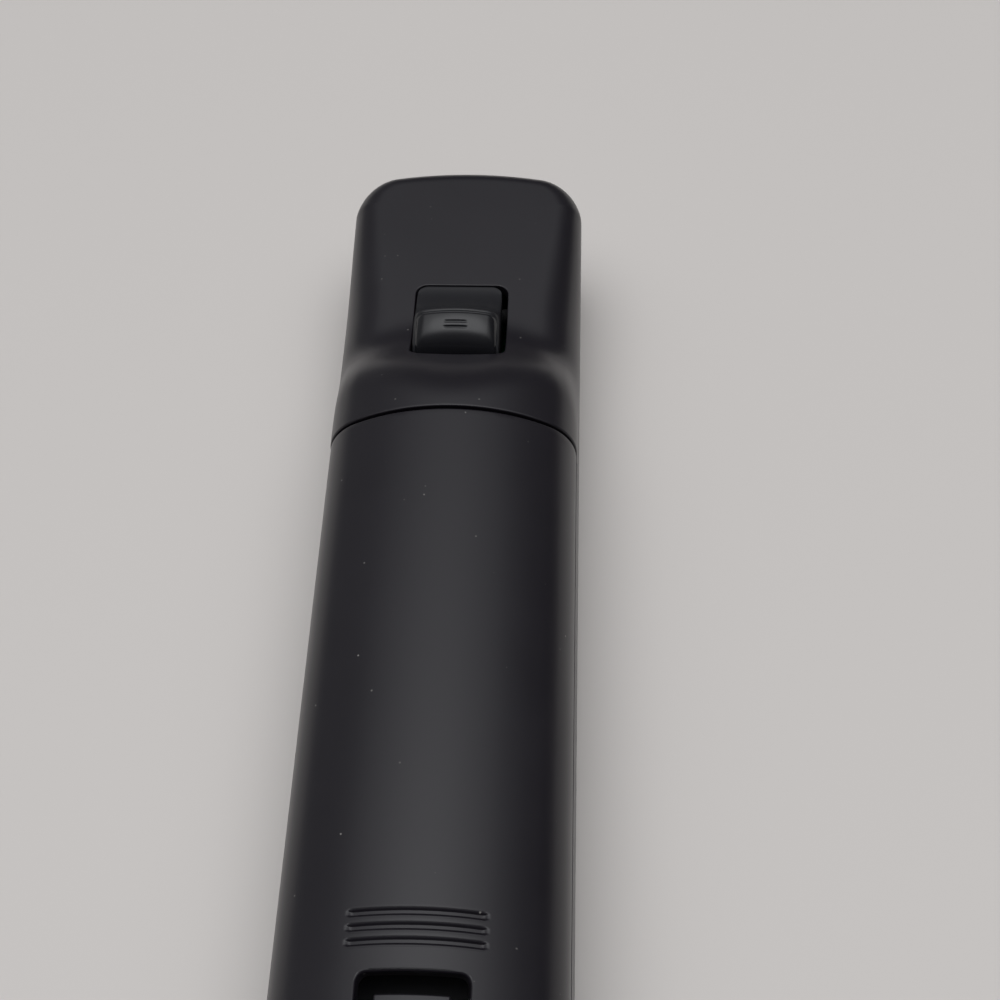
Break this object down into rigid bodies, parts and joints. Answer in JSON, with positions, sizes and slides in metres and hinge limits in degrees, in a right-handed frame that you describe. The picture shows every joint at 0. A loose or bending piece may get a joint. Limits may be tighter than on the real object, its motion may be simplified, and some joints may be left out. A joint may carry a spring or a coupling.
{
  "type": "motion controller wand",
  "caption": "Slim hand-held motion controller with a trigger and a lift-off battery cover on its back, buttons on its face, a camera window in the nose and a socket in the tail.",
  "frame": {"origin": "middle of the bounding box, at the surface that the wand lies on", "axes": "+Y along the wand towards the nose with the camera window, +Z out of the back with the trigger, +X to the right seen from the back with the nose pointing away"},
  "size_m": [0.0362, 0.148, 0.0308],
  "materials": {
    "shell": "fine moulded texture, black",
    "inner_plastic": "plain moulded, black",
    "trigger_plastic": "satin, black",
    "dark_button": "gloss, black",
    "main_button": "gloss, smoked black",
    "power_button": "gloss, dark red",
    "sync_red": "gloss, red",
    "window": "polished, infrared black",
    "silicone": "matt silicone",
    "boot_rubber": "matt",
    "board": "solder mask",
    "steel": "bright",
    "screw_steel": "blackened",
    "weight_metal": "sintered",
    "contact_brass": "plated",
    "speaker_frame": "plain",
    "speaker_paper": "paper",
    "cell_left": "satin sleeve",
    "cell_right": "satin sleeve",
    "light": "clear",
    "light_guide": "frosted"
  },
  "bodies": {
    "case": {"front_case": "shell", "rear_case": "shell", "tail_frame": "shell", "battery_tray": "inner_plastic", "camera_window": "window", "trigger_spring": "steel", "trigger_switch": "inner_plastic", "latch_spring": "steel", "main_dome": "silicone", "cross_domes": "silicone", "menu_domes": "silicone", "number_domes": "silicone", "power_dome": "silicone", "circuit_board": "board", "radio_shield": "steel", "board_chips": "inner_plastic", "sync_switch": "inner_plastic", "camera_module": "inner_plastic", "camera_lens": "window", "speaker_frame": "speaker_frame", "speaker_cone": "speaker_paper", "rumble_motor": "steel", "motor_boot": "boot_rubber", "socket_housing": "inner_plastic", "socket_contacts": "contact_brass", "battery_cell_left": "cell_left", "battery_cell_right": "cell_right", "battery_springs": "steel", "battery_plates": "steel", "player_lights": "light", "light_guides": "light_guide", "case_screws": "screw_steel", "board_screws": "screw_steel"},
    "cover": {"battery_cover": "shell"},
    "latch": {"cover_latch": "shell"},
    "trigger": {"trigger": "trigger_plastic"},
    "cross_gimbal": {"cross_pivot": "steel"},
    "cross": {"direction_cross": "dark_button"},
    "main_button": {"main_button": "main_button"},
    "minus_button": {"minus_button": "dark_button"},
    "home_button": {"home_button": "dark_button"},
    "plus_button": {"plus_button": "dark_button"},
    "one_button": {"one_button": "dark_button"},
    "two_button": {"two_button": "dark_button"},
    "power_button": {"power_button": "power_button"},
    "sync_button": {"sync_button": "sync_red"},
    "rumble_rotor": {"rumble_shaft": "steel", "rumble_weight": "weight_metal"}
  },
  "joints": [
    {"name": "cover_lift", "type": "slide", "parent": "case", "child": "cover", "axis": [0, 0, 1], "range_m": [0, 0.03]},
    {"name": "latch_press", "type": "hinge", "parent": "case", "child": "latch", "pos_m": [0, -0.07005, 0.0232], "axis": [-1, 0, 0], "range_deg": [0, 8], "stiffness_Nm_per_rad": 0.06, "deforming": ["latch_spring"]},
    {"name": "trigger_pull", "type": "hinge", "parent": "case", "child": "trigger", "pos_m": [0, 0.045, 0.019], "axis": [1, 0, 0], "range_deg": [0, 8], "stiffness_Nm_per_rad": 0.12, "deforming": ["trigger_spring"]},
    {"name": "cross_tilt_x", "type": "hinge", "parent": "case", "child": "cross_gimbal", "pos_m": [0, 0.049, 0.0063], "axis": [1, 0, 0], "range_deg": [-4, 4], "stiffness_Nm_per_rad": 0.17, "deforming": ["cross_domes"]},
    {"name": "cross_tilt_y", "type": "hinge", "parent": "cross_gimbal", "child": "cross", "pos_m": [0, 0.049, 0.0063], "axis": [0, 1, 0], "range_deg": [-4, 4], "stiffness_Nm_per_rad": 0.17, "deforming": ["cross_domes"]},
    {"name": "main_button_press", "type": "slide", "parent": "case", "child": "main_button", "axis": [0, 0, 1], "range_m": [0, 0.0012], "stiffness_N_per_m": 1500, "deforming": ["main_dome"]},
    {"name": "minus_button_press", "type": "slide", "parent": "case", "child": "minus_button", "axis": [0, 0, 1], "range_m": [0, 0.0006], "stiffness_N_per_m": 1500, "deforming": ["menu_domes"]},
    {"name": "home_button_press", "type": "slide", "parent": "case", "child": "home_button", "axis": [0, 0, 1], "range_m": [0, 0.0006], "stiffness_N_per_m": 1500, "deforming": ["menu_domes"]},
    {"name": "plus_button_press", "type": "slide", "parent": "case", "child": "plus_button", "axis": [0, 0, 1], "range_m": [0, 0.0006], "stiffness_N_per_m": 1500, "deforming": ["menu_domes"]},
    {"name": "one_button_press", "type": "slide", "parent": "case", "child": "one_button", "axis": [0, 0, 1], "range_m": [0, 0.0012], "stiffness_N_per_m": 1500, "deforming": ["number_domes"]},
    {"name": "two_button_press", "type": "slide", "parent": "case", "child": "two_button", "axis": [0, 0, 1], "range_m": [0, 0.0012], "stiffness_N_per_m": 1500, "deforming": ["number_domes"]},
    {"name": "power_button_press", "type": "slide", "parent": "case", "child": "power_button", "axis": [0, 0, 1], "range_m": [0, 0.0006], "stiffness_N_per_m": 1500, "deforming": ["power_dome"]},
    {"name": "sync_button_press", "type": "slide", "parent": "case", "child": "sync_button", "axis": [0, 0, -1], "range_m": [0, 0.0005], "stiffness_N_per_m": 1500},
    {"name": "rumble_spin", "type": "hinge", "parent": "case", "child": "rumble_rotor", "pos_m": [0, 0.025, 0.014], "axis": [1, 0, 0], "continuous": true}
  ]
}
